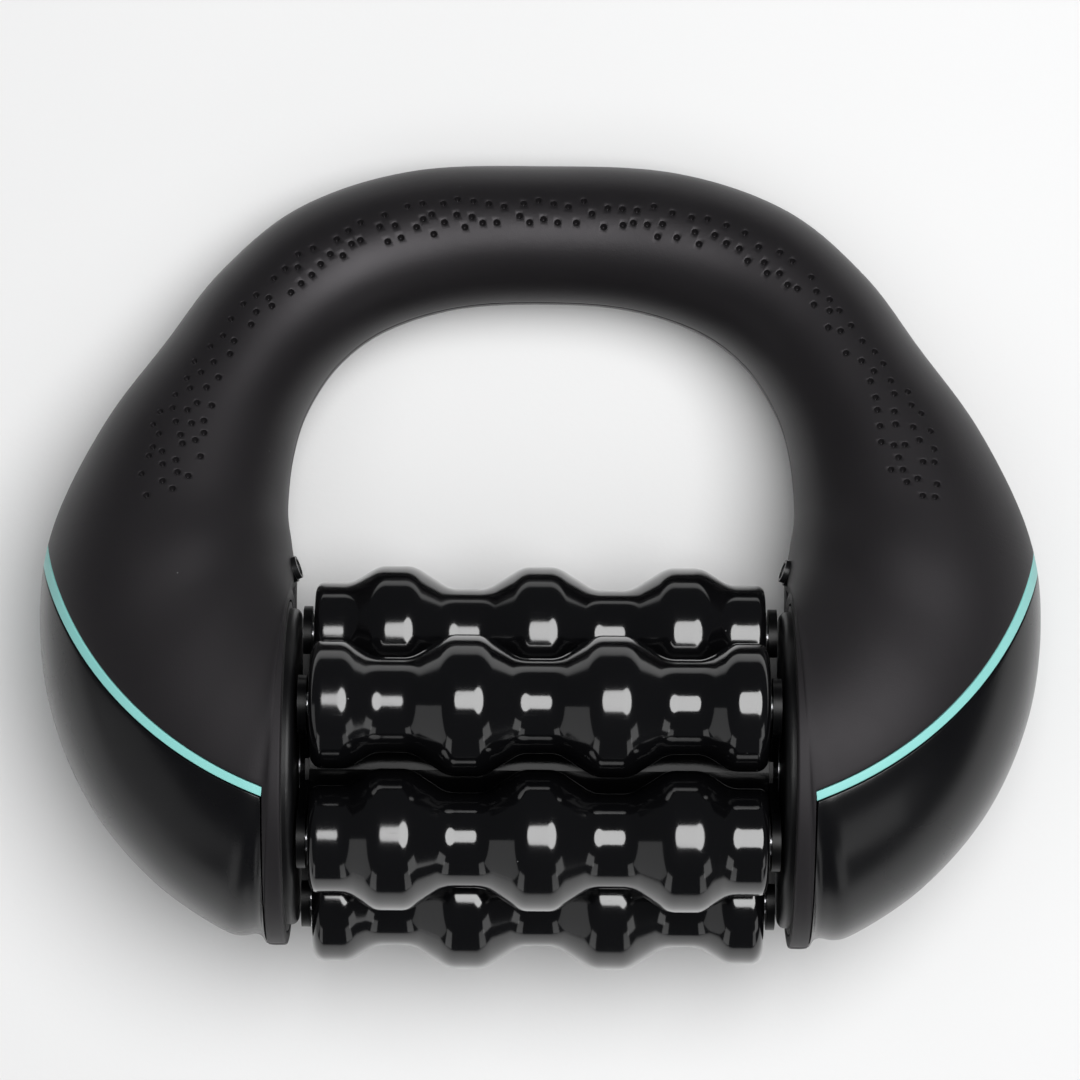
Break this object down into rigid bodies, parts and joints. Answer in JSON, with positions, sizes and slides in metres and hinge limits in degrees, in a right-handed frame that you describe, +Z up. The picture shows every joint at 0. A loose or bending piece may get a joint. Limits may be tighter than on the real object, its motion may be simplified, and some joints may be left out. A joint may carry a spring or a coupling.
{
  "type": "hand-held roller massager",
  "caption": "Hand-held massager: a D-shaped moulded handle carries a drum of wavy free-spinning rollers between two bulbous pods, with release buttons.",
  "frame": {"origin": "centre of the footprint, on the surface that the massager lies on", "axes": "+X along the drum axis to the right, +Y from the drum towards the grip, +Z up; it lies on two rollers and the grip"},
  "size_m": [0.21, 0.1696, 0.0767],
  "materials": {
    "soft_black": "soft-touch matte",
    "satin_black": "satin",
    "disc_black": "fine satin",
    "button_black": "semi-gloss",
    "teal": "smooth satin",
    "gloss_black": "polished",
    "nylon": "black acetal",
    "brass": "turned",
    "steel": "turned, zinc plated"
  },
  "bodies": {
    "root": {"handle_front_shell": "soft_black", "handle_back_shell": "soft_black", "left_end_cap": "satin_black", "right_end_cap": "satin_black", "left_accent_strip": "teal", "right_accent_strip": "teal", "left_bearing_boss": "disc_black", "right_bearing_boss": "disc_black", "left_side_plate": "soft_black", "right_side_plate": "soft_black", "standoffs": "brass", "cap_pillars": "satin_black", "left_ring_nut": "steel", "right_ring_nut": "steel", "drum_axle": "steel", "axle_collars": "steel", "axle_washers": "steel", "axle_bolts": "steel", "shell_screws": "steel", "cap_screws": "steel", "left_inner_race": "steel", "right_inner_race": "steel", "left_button_guide": "disc_black", "right_button_guide": "disc_black", "left_button_spring": "steel", "right_button_spring": "steel"},
    "drum": {"drum_core": "disc_black", "left_drum_plate": "disc_black", "right_drum_plate": "disc_black", "left_drum_hub": "steel", "right_drum_hub": "steel", "left_outer_race": "steel", "right_outer_race": "steel", "left_bearing_balls": "steel", "right_bearing_balls": "steel", "roller_axles": "steel"},
    "roller_1": {"roller_1": "gloss_black", "roller_1_bushes": "nylon"},
    "roller_2": {"roller_2": "gloss_black", "roller_2_bushes": "nylon"},
    "roller_3": {"roller_3": "gloss_black", "roller_3_bushes": "nylon"},
    "roller_4": {"roller_4": "gloss_black", "roller_4_bushes": "nylon"},
    "roller_5": {"roller_5": "gloss_black", "roller_5_bushes": "nylon"},
    "roller_6": {"roller_6": "gloss_black", "roller_6_bushes": "nylon"},
    "left_button": {"left_release_button": "button_black"},
    "right_button": {"right_release_button": "button_black"}
  },
  "joints": [
    {"name": "drum_spin", "type": "hinge", "parent": "root", "child": "drum", "pos_m": [0, -0.04279, 0.03832], "axis": [1, 0, 0], "continuous": true},
    {"name": "roller_1_spin", "type": "hinge", "parent": "drum", "child": "roller_1", "pos_m": [0, -0.01529, 0.03832], "axis": [1, 0, 0], "continuous": true},
    {"name": "roller_2_spin", "type": "hinge", "parent": "drum", "child": "roller_2", "pos_m": [0, -0.02904, 0.06213], "axis": [1, 0, 0], "continuous": true},
    {"name": "roller_3_spin", "type": "hinge", "parent": "drum", "child": "roller_3", "pos_m": [0, -0.05654, 0.06213], "axis": [1, 0, 0], "continuous": true},
    {"name": "roller_4_spin", "type": "hinge", "parent": "drum", "child": "roller_4", "pos_m": [0, -0.07029, 0.03832], "axis": [1, 0, 0], "continuous": true},
    {"name": "roller_5_spin", "type": "hinge", "parent": "drum", "child": "roller_5", "pos_m": [0, -0.05654, 0.0145], "axis": [1, 0, 0], "continuous": true},
    {"name": "roller_6_spin", "type": "hinge", "parent": "drum", "child": "roller_6", "pos_m": [0, -0.02904, 0.0145], "axis": [1, 0, 0], "continuous": true},
    {"name": "left_button_press", "type": "slide", "parent": "root", "child": "left_button", "axis": [-0.9366, -0.3341, -0.1057], "range_m": [0, 0.001], "stiffness_N_per_m": 700, "springref_m": -0.0006, "deforming": ["left_button_spring"]},
    {"name": "right_button_press", "type": "slide", "parent": "root", "child": "right_button", "axis": [0.9366, -0.3341, -0.1057], "range_m": [0, 0.001], "stiffness_N_per_m": 700, "springref_m": -0.0006, "deforming": ["right_button_spring"]}
  ]
}
